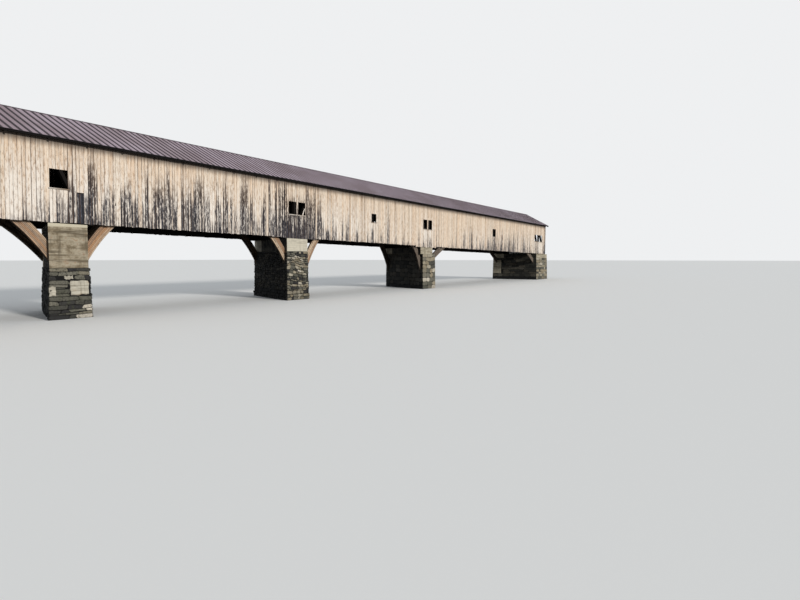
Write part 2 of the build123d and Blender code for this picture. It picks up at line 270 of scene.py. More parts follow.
def sillFinish(name):
    # short boards with their grain lying level
    f = Finish(name, sillLook, "pale")
    where = f.place()
    grain = f.noise(where, (12, 300, 300))
    f.lay(f.smooth(f.noise(where, 3, 2), 0.42, 0.6), "brown")
    f.lay(f.smooth(grain, 0.52, 0.72) * 0.6, "dark")
    return f.surface(grain * 0.2 + 0.7, grain, 0.3, 0.001)


timberLook = {
    "dark": (38, 31, 27), "mid": (62, 50, 41), "pale": (90, 74, 60), "deep": (13, 11, 11),
}


def timberFinish(name, scale, depth):
    # sawn timber that lies in the shade: scale says which way its grain lies, and depth takes it
    # towards black as a painted shade
    f = Finish(name, timberLook, "dark", 0.15)
    where = f.place()
    grain = f.noise(where, scale, 4, 0.6)
    f.lay(f.smooth(grain, 0.35, 0.7), "mid")
    f.lay(f.smooth(f.noise(where, (5, 9, 9)), 0.5, 0.75) * 0.6, "pale")
    # painted shade: the timber taken towards black
    f.lay(depth, "deep")
    return f.surface(grain * 0.2 + 0.7, grain, 0.3, 0.001)


archLook = {
    "orange": (192, 145, 104), "tan": (236, 212, 182), "brown": (112, 76, 54),
    "grey": (160, 146, 132), "shade": (22, 16, 14),
}


def archFinish(name):
    # planks bent one on another: each has a tone of its own, and painted shade darkens them on the
    # inside and along the lower edge of each plank's outer face
    f = Finish(name, archLook, "orange")
    seed, grey, shade = f.marks("plankMarks")
    x, y, z = f.parts("XYZ", f.place())
    local = f.join(x + seed * 13.0, y, z + seed * 7.0)
    grain = f.noise(local, (60, 160, 60), 4, 0.65)
    patches = f.noise(local, 14)
    f.lay(f.smooth(seed, 0.2, 0.8), "tan")
    f.lay(f.smooth(f.maths("FRACT", seed * 5.1), 0.55, 0.85) * 0.6, "brown")
    f.lay(f.smooth(grain, 0.5, 0.75) * 0.55, "brown")
    f.lay(f.clamp(grey + (patches - 0.5) * 0.8), "grey")
    f.lay(f.smooth(patches, 0.58, 0.74) * 0.45, "brown")
    # painted shade on the inside faces and at each plank's lower edge; on the grey planks at the right
    # it is the darker tone of their weathered wood
    f.lay(f.clamp(shade + (patches - 0.5) * shade), "shade")
    return f.surface(grain * 0.2 + 0.65, grain, 0.35, 0.001)


roofLook = {
    "paint": (148, 131, 141), "faded": (171, 157, 168), "worn": (118, 100, 102),
    "rust": (124, 94, 84), "seam": (26, 20, 26),
}


def roofFinish(name, seam):
    # painted sheet, faded in runs down the slope, and darkened by painted shade beside its seams and at
    # the lip
    f = Finish(name, roofLook, "paint", 0.3)
    seed, down, across = f.marks("sheetMarks")
    where = f.place()
    runs = f.noise(where, (40, 3, 3), 4, 0.6)
    f.lay(f.clamp(f.smooth(runs, 0.38, 0.66) * 0.6 + seed * 0.5), "faded")
    f.lay(f.smooth(f.noise(where, (2.2, 3, 3)), 0.42, 0.66) * 0.5, "worn")
    f.lay(f.smooth(f.noise(where, (60, 12, 12), 4, 0.7), 0.56, 0.74) * 0.5, "rust")
    # painted shade on the pans: darker beside each seam, as its shadow, and along the lip
    seamAndLipShade = f.smooth(f.maths("ABSOLUTE", across - 0.5), 0.21, 0.37)
    seamAndLipShade = f.maths("MAXIMUM", seamAndLipShade, f.smooth(down, 0.98, 0.986))
    # the seam finish is taken mostly to the seam colour, a painted shade for the seams' shaded sides;
    # the ridge cap wears this finish too
    f.lay(0.75 if seam else seamAndLipShade * 0.95, "seam")
    return f.surface(runs * 0.25 + 0.45, f.noise(where, (9, 5, 5), 1), 0.25, 0.004)


stoneLook = {
    "concrete": (196, 189, 168), "lime": (214, 208, 190), "stain": (92, 83, 68),
    "rust": (132, 104, 78), "joint": (22, 21, 20), "dampAndShade": (27, 28, 29), "moss": (84, 88, 62),
    # bodies of cast concrete
    "brown": (124, 111, 90), "smooth": (182, 176, 161), "mottled": (148, 140, 121),
    "pale": (168, 163, 150),
}
# the tones that a wall's stones come in, from the darkest
stoneTones = ((46, 45, 45), (82, 81, 72), (112, 109, 98), (140, 129, 108), (158, 151, 134),
              (204, 196, 182))


def concreteFinish(name, body, weather, bandFrom=None):
    # cast concrete: level form lines, damp runs and rust, and a pale band over some height
    f = Finish(name, stoneLook, body)
    shade = f.marks("castMarks")[0]
    where = f.place()
    lines = f.noise(where, (3.5, 3.5, 62), 3, 0.6, 0.6)
    blots = f.noise(where, (16, 16, 22), 5, 0.65)
    grit = f.noise(where, 300, 3, 0.7)
    f.lay(f.smooth(blots, 0.35, 0.65) * 0.35, "lime")
    f.lay(f.smooth(lines, 0.48, 0.66) * weather, "stain")
    f.lay(f.smooth(f.noise(where, (60, 60, 4)), 0.52, 0.75) * weather * 0.8, "stain")
    f.lay(f.smooth(blots, 0.56, 0.7) * weather * 0.8, "rust")
    f.lay(f.smooth(blots, 0.47, 0.36) * weather * 0.5, "stain")
    f.lay(f.smooth(grit, 0.58, 0.8) * 0.3, "stain")
    if bandFrom:
        height = f.parts("XYZ", where)[2] + (lines - 0.5) * 0.006
        f.lay(f.smooth(height, bandFrom, bandFrom + 0.003) * 0.8, "concrete")
    # painted shade on the faces that castMarks marks: the sides under the road
    f.lay(f.clamp(shade + (blots - 0.5) * shade), "dampAndShade")
    return f.surface(0.85, lines * 0.7 + grit * 0.3, 0.4, 0.002)


def rubbleFinish(name):
    # laid stones: each carries its own tone, and how dark it is made by damp and by painted shade
    f = Finish(name, stoneLook, gloss=0.25)
    seed, tone, dampAndShade = f.marks("stoneMarks")
    where = f.place()
    grit = f.noise(where, 120, 5, 0.7)
    blots = f.noise(where, 24, 4, 0.6)
    f.base = f.ramp(f.clamp(tone * 1.15 - 0.11), [tint(*colour) for colour in stoneTones])
    f.lay(f.smooth(blots, 0.52, 0.74) * 0.35, "moss")
    f.lay(f.smooth(grit, 0.47, 0.64) * 0.65, "joint")
    f.lay(f.clamp(dampAndShade + (blots - 0.5) * 0.4), "dampAndShade")
    return f.surface(0.82, grit, 0.6, 0.004)


def jointFinish(name):
    # the core behind the stones, that shows only in the joints
    f = Finish(name, stoneLook, "joint", 0.15)
    grit = f.noise(f.place(), 120, 4, 0.7)
    f.lay(f.smooth(grit, 0.4, 0.7), "dampAndShade")
    return f.surface(0.9, grit, 0.5, 0.003)


ironLook = {
    "bolt": (52, 40, 34), "rust": (104, 62, 40),
}


def ironFinish(name):
    f = Finish(name, ironLook, "bolt", 0.4)
    rust = f.noise(f.place(), 400)
    f.lay(f.smooth(rust, 0.4, 0.65), "rust")
    return f.surface(0.6, rust, 0.3, 0.0005)


boards = boardFinish("weatheredBoards")
sillBoards = sillFinish("windowSillBoards")
darkTimber = timberFinish("trussTimber", (30, 130, 130), 0.9)
floorTimber = timberFinish("floorTimber", (30, 130, 130), 0.85)
crossTimber = timberFinish("crossTimber", (130, 30, 130), 0.75)
# the fascia and barge boards go fully black: their dark paint, and painted shade for the dark line
# under the eaves
fasciaPaintAndShade = timberFinish("fasciaPaintAndShade", (20, 90, 90), 1.0)
archTimber = archFinish("archPlanks")
roofSheet = roofFinish("roofSheet", False)
roofSeam = roofFinish("roofSeam", True)
brownConcrete = concreteFinish("brownConcrete", "brown", 1.0, 0.547)
smoothConcrete = concreteFinish("smoothConcrete", "smooth", 0.3)
mottledConcrete = concreteFinish("mottledConcrete", "mottled", 0.7)
paleConcrete = concreteFinish("paleConcrete", "pale", 0.5)
rubble = rubbleFinish("rubbleStone")
jointStone = jointFinish("stoneJoints")
iron = ironFinish("boltIron")
print("finishes made")


def newShape(*layers):
    # a bmesh whose corners can carry numbers for the finishes
    shape = bmesh.new()
    for layer in layers:
        shape.loops.layers.float_color.new(layer)
    return shape


def newObject(name, shape, material):
    mesh = bpy.data.meshes.new(name)
    shape.to_mesh(mesh)
    shape.free()
    mesh.materials.append(material)
    made = bpy.data.objects.new(name, mesh)
    scene.collection.objects.link(made)
    return made


def newPiece(name, shape, slot, material, *stands):
    # an object that rides on the bridge, and stands for CAD nodes if it is given any
    bmesh.ops.recalc_face_normals(shape, faces=shape.faces)
    piece = newObject(name, shape, material)
    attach(piece, "root")
    if stands:
        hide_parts(*stands)


def markCorners(shape, layerName, faces, numbersAt):
    # three numbers at each corner of some faces, as numbersAt(face, vert) gives them
    layer = shape.loops.layers.float_color.get(layerName)
    for face in faces:
        for loop in face.loops:
            loop[layer] = (*numbersAt(face, loop.vert), 1.0)


def markFaces(shape, layerName, faces, numbers):
    markCorners(shape, layerName, faces, lambda face, vert: numbers)


def addRing(shape, points):
    return [shape.verts.new(point) for point in points]


def joinRings(shape, rings):
    # the faces between rings of points that follow each other
    faces = []
    for first, second in zip(rings, rings[1:]):
        for i in range(len(first)):
            j = (i + 1) % len(first)
            faces.append(shape.faces.new([first[i], first[j], second[j], second[i]]))
    return faces


def closeRings(shape, rings):
    # a closed body from rings of points: its two ends, and then its sides
    ends = [shape.faces.new(rings[0]), shape.faces.new(rings[-1])]
    return ends + joinRings(shape, rings)


def addBox(shape, corners):
    # eight corners, the lower four first, each four running the same way round
    verts = addRing(shape, corners)
    rings = ((3, 2, 1, 0), (4, 5, 6, 7), (0, 1, 5, 4), (1, 2, 6, 5), (2, 3, 7, 6), (3, 0, 4, 7))
    return [shape.faces.new([verts[i] for i in ring]) for ring in rings]


def addBoxAt(shape, place, along, across, up):
    # a box from three ranges, each corner where place(along, across, up) puts it
    return addBox(shape, [place(along[i], across[j], height) for height in up for i, j in square])


def alongTable(table, place):
    # the row of numbers that holds at some place, drawn straight between the table's rows
    if place <= table[0][0]:
        return table[0][1:]
    for low, high in zip(table, table[1:]):
        if place <= high[0]:
            share = (place - low[0]) / (high[0] - low[0])
            return tuple(a + (b - a) * share for a, b in zip(low[1:], high[1:]))
    return table[-1][1:]


siding = {
    "top": 0.4815,
    "thickness": 0.003,
    "boardWidth": 0.0245,
    "widthSpread": 0.3,
    "gap": 0.0009,
    "footBelow": 0.1,  # a board that starts below this has a ragged foot
    "ragged": 0.0025,
    "slant": 0.0006,  # how far a foot slants
    "lift": 0.0004,  # how deep a board lies, at most
    "tilt": 0.0005,  # how much deeper one of its edges lies
    "bow": 0.0003,  # how far it bends
    "ringStep": 0.04,  # height between the rings of points on a board
    "breaks": (-5.715, -2.639, -0.566, 1.744, 5.715),
    # windows: start, end and size, and the lower and upper edge of each size
    "windows": (
        (-5.544, -5.165, "full"), (-4.03, -3.919, "full"), (-2.989, -2.878, "full"),
        (-0.927, -0.829, "full"), (-0.806, -0.713, "full"), (0.329, 0.419, "small"),
        (1.401, 1.494, "full"), (1.522, 1.615, "full"), (3.421, 3.532, "full"),
        (5.165, 5.544, "full"),
    ),
    "full": (0.2, 0.31),
    "small": (0.211, 0.297),
    # where the boards reach lower over a pier: start, end and how far
    "skirts": ((-1.012, -0.569, 0.007), (1.236, 1.721, 0.013)),
    # old short boards let in beside the first pier: start, end, and the height of their top
    "patches": ((-2.825, -2.777, 0.183),),
    "patchGap": 0.004,
    "patchWeather": {"reach": 0.6, "black": (1.05, 1.2), "bleach": 0.1},
    # weather along the wall: the share of boards with a black foot, how high it climbs,
    # how black it is, and how bleached the boards between are
    "weather": (
        (-5.7, 0.3, 0.15, 0.6, 0.2), (-4.2, 0.25, 0.12, 0.5, 0.2), (-3.3, 0.2, 0.1, 0.45, 0.5),
        (-3.05, 0.5, 0.1, 0.4, 0.7), (-2.9, 0.5, 0.1, 0.42, 0.7), (-2.8, 0.4, 0.11, 0.5, 0.7),
        (-2.7, 0.75, 0.18, 0.85, 0.7), (-2.3, 0.8, 0.18, 0.8, 0.65),
        (-1.9, 0.78, 0.2, 0.85, 0.65), (-1.5, 0.8, 0.22, 0.82, 0.65),
        (-1.1, 0.75, 0.24, 0.85, 0.5), (-0.98, 0.9, 0.28, 1, 0.4), (-0.62, 0.85, 0.28, 0.85, 0.5),
        (-0.45, 0.5, 0.16, 0.6, 0.6), (0, 0.45, 0.12, 0.5, 0.5), (0.4, 0.25, 0.08, 0.5, 0.4),
        (1.25, 0.12, 0.06, 0.4, 0.15), (1.38, 0.35, 0.14, 0.45, 0.4),
        (1.66, 0.35, 0.14, 0.45, 0.4), (1.8, 0.08, 0.06, 0.4, 0.1), (2.5, 0.25, 0.12, 0.45, 0.2),
        (2.75, 0.55, 0.16, 0.6, 0.35), (3.3, 0.5, 0.12, 0.6, 0.3), (4.4, 0.6, 0.18, 0.5, 0.3),
        (5.2, 0.5, 0.2, 0.45, 0.3), (5.7, 0.3, 0.14, 0.45, 0.3),
    ),
    # how boards differ from their row: climb and black of stained and of clean ones, and bleach
    "stained": ((0.6, 1.7), (0.8, 1.15)),
    "clean": ((0.0, 0.6), (0.3, 0.8)),
    "bleachSpread": (0.3, 1.6),
    # boards that stand out: start, end, height that the black climbs to, and how black
    "darkRuns": (
        (-2.868, -2.836, 0.2, 0.85), (-2.754, -2.697, 0.25, 1), (-2.635, -2.6, 0.18, 0.8),
        (-2.527, -2.485, 0.18, 0.75), (-2.247, -2.206, 0.22, 0.8), (-2.146, -2.098, 0.22, 0.7),
        (-1.908, -1.861, 0.29, 0.95), (-1.83, -1.79, 0.2, 0.7), (-1.05, -0.94, 0.33, 1),
        (-0.94, -0.7, 0.225, 1.2), (-0.826, -0.809, 0.18, 1.2), (-0.7, -0.6, 0.27, 1.1),
        (-0.685, -0.668, 0.37, 0.95), (-0.42, -0.39, 0.06, 0.9), (0.06, 0.085, 0.07, 0.9),
        (0.33, 0.37, 0.1, 0.8), (0.62, 0.66, 0.36, 0.42), (1.54, 1.59, 0.09, 0.9),
        (3.43, 3.53, 0.17, 0.85), (5.3, 5.42, 0.2, 0.5), (5.665, 5.715, 0.46, 0.9),
    ),
    "runMargin": 0.006,
    "runSpread": (0.92, 1.08),
    "fade": (0.04, 1.3),  # a run fades over this height, and this share of its reach
    "bleachHeights": (0.18, 0.44),  # full bleach below the first, none above the second
    # pale washes under the sills: place, half width, lowest and highest point
    "washes": (
        (-0.88, 0.013, 0.06, 0.2), (-0.765, 0.012, 0.05, 0.19), (-0.735, 0.008, 0.12, 0.2),
        (1.45, 0.03, 0.06, 0.2), (1.575, 0.02, 0.12, 0.2), (5.44, 0.09, 0.02, 0.19),
    ),
    "washed": (0.5, 0.7),  # what a wash takes off the stain, and adds to the bleach
}


def weatherOf(draw, middle):
    # how one board has weathered: the height its black foot climbs to, how black, how bleached
    share, climb, black, bleach = alongTable(siding["weather"], middle)
    climbs, blacks = siding["stained" if draw(0, 1) < share else "clean"]
    reach = climb * draw(*climbs)
    black *= draw(*blacks)
    margin = siding["runMargin"]
    for start, stop, height, depth in siding["darkRuns"]:
        if start - margin < middle < stop + margin:
            reach, black = height * draw(*siding["runSpread"]), depth
    return {"reach": reach, "black": black, "bleach": bleach * draw(*siding["bleachSpread"])}


def weatherWithin(ranges):
    # the same for boards that are all alike: each number, or one from its range
    def weatherFor(draw, middle):
        return {key: draw(*value) if isinstance(value, tuple) else value
                for key, value in ranges.items()}
    return weatherFor


def stainAt(weather, middle, up):
    # 0 on clean wood and 1 on black, and how bleached it is there
    least, share = siding["fade"]
    fade = least + share * max(0.0, weather["reach"])
    stain = weather["black"] * min(1.0, max(0.0, 0.5 + (weather["reach"] - up) / fade))
    full, none = siding["bleachHeights"]
    pale = weather["bleach"] * min(1.0, max(0.0, (none - up) / (none - full)))
    for place, half, low, high in siding["washes"]:
        level = (up - (low + high) / 2) / (high - low) * 1.6
        inside = exp(-((middle - place) / half) ** 2) * exp(-level ** 4)
        stain -= siding["washed"][0] * inside
        pale += siding["washed"][1] * inside
    return stain, pale


def addBoard(shape, draw, place, start, stop, low, highs, weather):
    # one board between two places along its wall. place(along, depth, up) gives a point, and
    # highs are the heights of its two upper corners
    places = (start + siding["gap"] / 2, stop - siding["gap"] / 2)
    lift, tilt = draw(0.0, siding["lift"]), draw(0.0, siding["tilt"])
    depths = (lift, lift + tilt) if draw(0, 1) < 0.5 else (lift + tilt, lift)
    lows = [low + draw(-1, 1) * siding["ragged"] if low < siding["footBelow"] else low]
    lows.append(lows[0] + draw(-1, 1) * siding["slant"])
    seed, warm = draw(0, 1), draw(0, 1)
    steps = max(2, round((max(highs) - low) / siding["ringStep"]))
    rings, marks, tones = [], {}, {}
    for step in range(steps + 1):
        share = step / steps
        bow = draw(0.0, siding["bow"])
        ups = [lows[i] + (highs[i] - lows[i]) * share for i in (0, 1)]
        rings.append(addRing(shape, [
            place(places[i], siding["thickness"] if j else depths[i] + bow, ups[i])
            for i, j in square]))
        up = sum(ups) / 2
        stain, pale = stainAt(weather, (start + stop) / 2, up)
        for vert, (across, _) in zip(rings[-1], square):
            marks[vert] = (seed, stain, up / siding["top"])
            tones[vert] = (pale, across)
    faces = closeRings(shape, rings)
    backs = set(faces[4::4])
    markCorners(shape, "boardMarks", faces, lambda face, vert: marks[vert])
    # back faces carry pale -1: their unweathered brown and painted shade
    markCorners(shape, "boardTone", faces, lambda face, vert: (
        warm, -1.0 if face in backs else tones[vert][0], tones[vert][1]))


def fillBoards(shape, draw, place, start, stop, low, highAt, weatherFor):
    # boards of uneven width that fill a stretch of wall, up to highAt(along)
    count = max(1, round((stop - start) / siding["boardWidth"]))
    spread = siding["widthSpread"]
    widths = [1 + draw(-spread, spread) for _ in range(count)]
    scale = (stop - start) / sum(widths)
    left = start
    for width in widths:
        right = left + width * scale
        weather = weatherFor(draw, (left + right) / 2)
        addBoard(shape, draw, place, left, right, low, (highAt(left), highAt(right)), weather)
        left = right


def valueAt(places, middle):
    # what a list of starts, ends and values says at some place, if anything
    for start, stop, value in places:
        if start < middle < stop:
            return value
    return None


def makeSiding(side, index):
    shape = newShape("boardMarks", "boardTone")
    draw = random.Random(100 + index * 7 + side).uniform
    low, high = siding["breaks"][index:index + 2]
    lean = skewAt(side * bridge["halfWidth"])
    skirts = [(start + lean, stop + lean, drop) for start, stop, drop in siding["skirts"]]
    edges = {low, high}
    for start, stop, _ in (*skirts, *siding["windows"], *siding["patches"]):
        edges.update((start, stop))
    edges = sorted(edge for edge in edges if low <= edge <= high)
    patchWeather = weatherWithin(siding["patchWeather"])

    def place(along, depth, up):
        return onBridge(along, side * (bridge["halfWidth"] - depth), up)

    for start, stop in zip(edges, edges[1:]):
        middle = (start + stop) / 2
        base, top = -(valueAt(skirts, middle) or 0.0), siding["top"]
        window, patch = valueAt(siding["windows"], middle), valueAt(siding["patches"], middle)
        stretches = [(base, top, weatherOf)]
        if window:
            sill, head = siding[window]
            stretches = [(base, sill, weatherOf), (head, top, weatherOf)]
        elif patch:
            stretches = [(base, patch, patchWeather), (patch + siding["patchGap"], top, weatherOf)]
        for bottom, upper, weatherFor in stretches:
            fillBoards(shape, draw, place, start, stop, bottom, lambda along: upper, weatherFor)
    name = (sideNames[side], index + 1)
    newPiece("%sBoards%d" % name, shape, "siding_boards", boards, "%s_siding_%d" % name)


for side in sideNames:
    for index in range(len(siding["breaks"]) - 1):
        makeSiding(side, index)
print("siding boards made")


looseBoard = {
    "foot": (-0.752, 0.2),  # along and up, on the sill of the fifth window
    "head": (-0.722, 0.262),  # against the window's right edge
    "width": 0.014,
    "depth": (0.001, 0.004),
    "broken": (0.9, 0.45),  # the share of its width that is left at the foot and the head
}


def makeLooseBoard():
    # a broken board that leans in the corner of a window over the second pier
    shape = newShape("boardMarks", "boardTone")
    foot, head = Vector(looseBoard["foot"]), Vector(looseBoard["head"])
    across = Vector((head.y - foot.y, foot.x - head.x)).normalized() * looseBoard["width"]
    low, high = looseBoard["broken"]
    sill = siding["full"][0]
    faces = addBox(shape, [onBridge(p.x, depth - bridge["halfWidth"], max(p.y, sill))
                           for depth in looseBoard["depth"]
                           for p in (foot, foot + across * low, head + across * high, head)])
    markFaces(shape, "boardMarks", faces, (0.3, 0.0, 0.4))
    markFaces(shape, "boardTone", faces, (0.1, 0.9, 0.5))
    newPiece("looseBoard", shape, "siding_boards", boards)


makeLooseBoard()


roof = {
    "pitch": radians(27.85),
    "ridgeUnder": 0.69776,  # underside of the roof at the ridge
    "thickness": 0.005,
    "sheet": 0.0008,
    "lip": 0.405,
    "half": 5.77,
    "pieces": 8,  # rings of points down one sheet
    "sag": (0.00012, 0.0006, 0.00012),  # how far a sheet lies low at its edges and middle
    "seamSpacing": 0.053,
    "seamFrom": -3.1545,  # where one seam falls
    "seamWidth": 0.004,
    "seamHeight": 0.002,
    "seamSink": 0.0005,
    "seamTaper": 0.75,  # how wide its top is, as a share of its foot
    "seamShift": 0.0008,  # how far its lower end wanders
    "seamInset": 0.0035,  # a seam ends this far short of the lip
    "seamStart": 0.0125,  # and starts this far from the ridge, under its cap
    "gableInset": 0.01,  # no seam is nearer than this to a gable
    "sheathing": 17,  # boards under the sheets, from the ridge to the lip
    "lengths": 6,  # lengths that make up a sheathing board
    "boardGap": 0.0008,
    "boardInset": 0.002,  # the last board ends this far short of the lip
}


def roofUnder(across):
    return roof["ridgeUnder"] - abs(across) * tan(roof["pitch"])


def onSlope(side, along, across, lift):
    # a point on the top of the roof sheets, raised square to the slope
    pitch = roof["pitch"]
    up = roofUnder(across) + roof["thickness"] / cos(pitch)
    return onBridge(along, side * (across + lift * sin(pitch)), up + lift * cos(pitch))


def seamPlaces():
    spacing, first = roof["seamSpacing"], roof["seamFrom"]
    last = roof["half"] - roof["gableInset"]
    low = ceil((-last - first) / spacing)
    places = []
    while first + (low + len(places)) * spacing < last:
        places.append(first + (low + len(places)) * spacing)
    return places


def makeRoofSheets(side):
    # flat pans between the seams, each a little uneven and with a tone of its own
    shape = newShape("sheetMarks")
    draw = random.Random(60 + side).uniform
    edges = [-roof["half"]] + seamPlaces() + [roof["half"]]
    for low, high in zip(edges, edges[1:]):
        seed = draw(0, 1)
        rings, marks = [], {}
        for step in range(roof["pieces"] + 1):
            share = step / roof["pieces"]
            across = roof["lip"] * share
            points = [onSlope(side, along, across, -draw(0.0, sag))
                      for along, sag in zip((low, (low + high) / 2, high), roof["sag"])]
            points += [onSlope(side, along, across, -roof["sheet"]) for along in (high, low)]
            rings.append(addRing(shape, points))
            for vert, place in zip(rings[-1], (0.0, 0.5, 1.0, 1.0, 0.0)):
                marks[vert] = (seed, share, place)
        markCorners(shape, "sheetMarks", closeRings(shape, rings), lambda face, vert: marks[vert])
    name = sideNames[side]
    newPiece(name + "RoofSheets", shape, "roof_metal", roofSheet, name + "_roof_slope")


def makeSheathing(side):
    # the boards that the sheets lie on, seen from below at the eaves and the gables
    shape = newShape()
    draw = random.Random(80 + side).uniform
    half, lengths, gap = roof["half"], roof["lengths"], roof["boardGap"]
    width, span = roof["lip"] / roof["sheathing"], 2 * half / lengths
    for row in range(roof["sheathing"]):
        low, high = row * width + gap / 2, (row + 1) * width - gap / 2
        if row == roof["sheathing"] - 1:
            high = roof["lip"] - roof["boardInset"]
        cuts = [-half + span * (i + draw(-0.25, 0.25)) for i in range(1, lengths)]
        for start, stop in zip([-half] + cuts, cuts + [half]):
            addBoxAt(shape, lambda *point: onSlope(side, *point), (start, stop - gap), (low, high),
                     (-roof["thickness"], -roof["sheet"] - 0.0001))
    newPiece(sideNames[side] + "RoofBoards", shape, "dark_timber", darkTimber)


def makeSeams(side):
    # standing seams that run from under the ridge cap to just short of the lip
    shape = newShape("sheetMarks")
    draw = random.Random(40 + side).uniform
    half, wander = roof["seamWidth"] / 2, roof["seamShift"]
    start, stop = roof["seamStart"], roof["lip"] - roof["seamInset"]
    for middle in seamPlaces():
        shift = draw(-wander, wander)

        def place(along, across, lift):
            narrow = roof["seamTaper"] if lift > 0 else 1.0
            return onSlope(side, middle + along * narrow + (shift if across > start else 0.0),
                           across, lift)

        faces = addBoxAt(shape, place, (-half, half), (start, stop),
                         (-roof["seamSink"], roof["seamHeight"]))
        markFaces(shape, "sheetMarks", faces, (draw(0, 1), 0.5, 0.5))
    newPiece(sideNames[side] + "RoofSeams", shape, "roof_metal", roofSeam)


bargeBoard = {
    "thickness": 0.003,
    "depth": 0.02,
    "reach": 0.398,  # its lower end, across from the ridge
    "gap": 0.0002,  # between it and the roof
    "inset": 0.002,
}


def makeBargeBoards():
    # thin dark boards under the roof's four sloping ends
    shape = newShape()
    for end in (-1, 1):
        outer = end * (roof["half"] - bargeBoard["inset"])
        inner = outer - end * bargeBoard["thickness"]
        for side in sideNames:
            def place(across, drop, along):
                return onBridge(along, side * across, roofUnder(across) - drop)

            addBoxAt(shape, place, (0.0, bargeBoard["reach"]),
                     (bargeBoard["depth"], bargeBoard["gap"]), (inner, outer))
    newPiece("bargeBoards", shape, "fascia_boards", fasciaPaintAndShade)


eaveBoard = {
    "across": (0.399, 0.402),
    "depth": 0.008,
    "uneven": 0.0015,  # how much deeper or less deep one board is
    "length": 0.46,
    "gap": 0.0006,
    "slide": 0.0006,  # how far it sits in from its place, at most
}


def makeEaveBoards():
    # thin boards under the edge of the roof, end to end along both sides
    shape = newShape()
    draw = random.Random(33).uniform
    uneven = eaveBoard["uneven"]
    count = round(2 * roof["half"] / eaveBoard["length"])
    pitch = 2 * roof["half"] / count
    for side in sideNames:
        for index in range(count):
            start = -roof["half"] + index * pitch
            drop = eaveBoard["depth"] + draw(-uneven, uneven)
            slide = draw(0.0, eaveBoard["slide"])
            foot = roofUnder(eaveBoard["across"][1]) - drop

            def place(along, across, top):
                height = roofUnder(across) - bargeBoard["gap"] if top else foot
                return onBridge(along, side * (across - slide), height)

            addBoxAt(shape, place, (start, start + pitch - eaveBoard["gap"]),
                     eaveBoard["across"], (False, True))
    newPiece("eaveBoards", shape, "fascia_boards", fasciaPaintAndShade, "eave_fascias")


makeEaveBoards()
for side in sideNames:
    makeRoofSheets(side)
    makeSheathing(side)
    makeSeams(side)
makeBargeBoards()
print("roof made")


portal = {
    "jambWidth": 0.067,
    "head": 0.4,
    "inner": 0.367,  # the siding's inner face
    "gableWeather": {"reach": (-0.1, 0.05), "black": 0.4, "bleach": (0.0, 0.4)},
    "jambWeather": {"reach": (0.02, 0.12), "black": 0.7, "bleach": (0.1, 0.5)},
}


def makePortals():
    # boards over and beside the two portals
    gables, jambs = [newShape("boardMarks", "boardTone") for _ in range(2)]
    gableWeather, jambWeather = [weatherWithin(portal[key]) for key in ("gableWeather", "jambWeather")]
    inner, jamb, head = portal["inner"], portal["jambWidth"], portal["head"]
    for end in (-1, 1):
        draw = random.Random(500 + end).uniform

        def place(across, depth, up):
            return onBridge(end * (bridge["halfLength"] - depth), across, up)

        for start, stop in ((-inner, 0.0), (0.0, inner)):
            fillBoards(gables, draw, place, start, stop, head, roofUnder, gableWeather)
        for start, stop in ((-inner, jamb - inner), (inner - jamb, inner)):
            fillBoards(jambs, draw, place, start, stop, 0.0, lambda across: head, jambWeather)
    newPiece("gableBoards", gables, "siding_boards", boards, "gables")
    newPiece("jambBoards", jambs, "siding_boards", boards, "portal_jambs")


makePortals()
print("portals made")


deck = {
    "halfLength": 5.712,
    "halfWidth": 0.315,
    "base": 0.067,
    "top": 0.075,
    "plankWidth": 0.026,
    "gap": 0.0008,
    "worn": 0.0008,  # how much lower one plank is, at most
    "uneven": 0.003,  # and how much shorter
    "endBoards": (-0.0055, 0.0735),  # the heights that three boards fill
    "endSlack": 0.0004,
    "endGap": (0.0002, 0.0005),  # between them and the planks, and the jambs
}


def makeDeck():
    # planks across the road, uneven at their edges
    shape = newShape()
    draw = random.Random(700).uniform
    count = round(2 * deck["halfLength"] / deck["plankWidth"])
    pitch, gap = 2 * deck["halfLength"] / count, deck["gap"] / 2
    for index in range(count):
        left = -deck["halfLength"] + index * pitch
        drop = draw(0.0, deck["worn"])
        near, far = [deck["halfWidth"] - draw(0.0, deck["uneven"]) for _ in range(2)]
        addBoxAt(shape, onBridge, (left + gap, left + pitch - gap), (-near, far),
                 (deck["base"], deck["top"] - drop))
    newPiece("deckPlanks", shape, "dark_timber", crossTimber, "road_deck")


def makeEndBoards():
    # three boards that close the space under each end of the road
    shape = newShape()
    draw = random.Random(720).uniform
    half = portal["inner"] - portal["jambWidth"] - deck["endGap"][1]
    low, high = deck["endBoards"]
    pitch, gap, slack = (high - low) / 3, deck["gap"] / 2, deck["endSlack"]
    for end in (-1, 1):
        for row in range(3):
            inner = deck["halfLength"] + deck["endGap"][0] + draw(0, slack)
            along = sorted((end * inner, end * (bridge["halfLength"] - draw(0, slack))))
            up = (low + row * pitch + gap, low + (row + 1) * pitch - gap)
            addBoxAt(shape, onBridge, along, (-half, half), up)
    newPiece("deckEndBoards", shape, "dark_timber", crossTimber)


makeDeck()
makeEndBoards()
print("deck made")


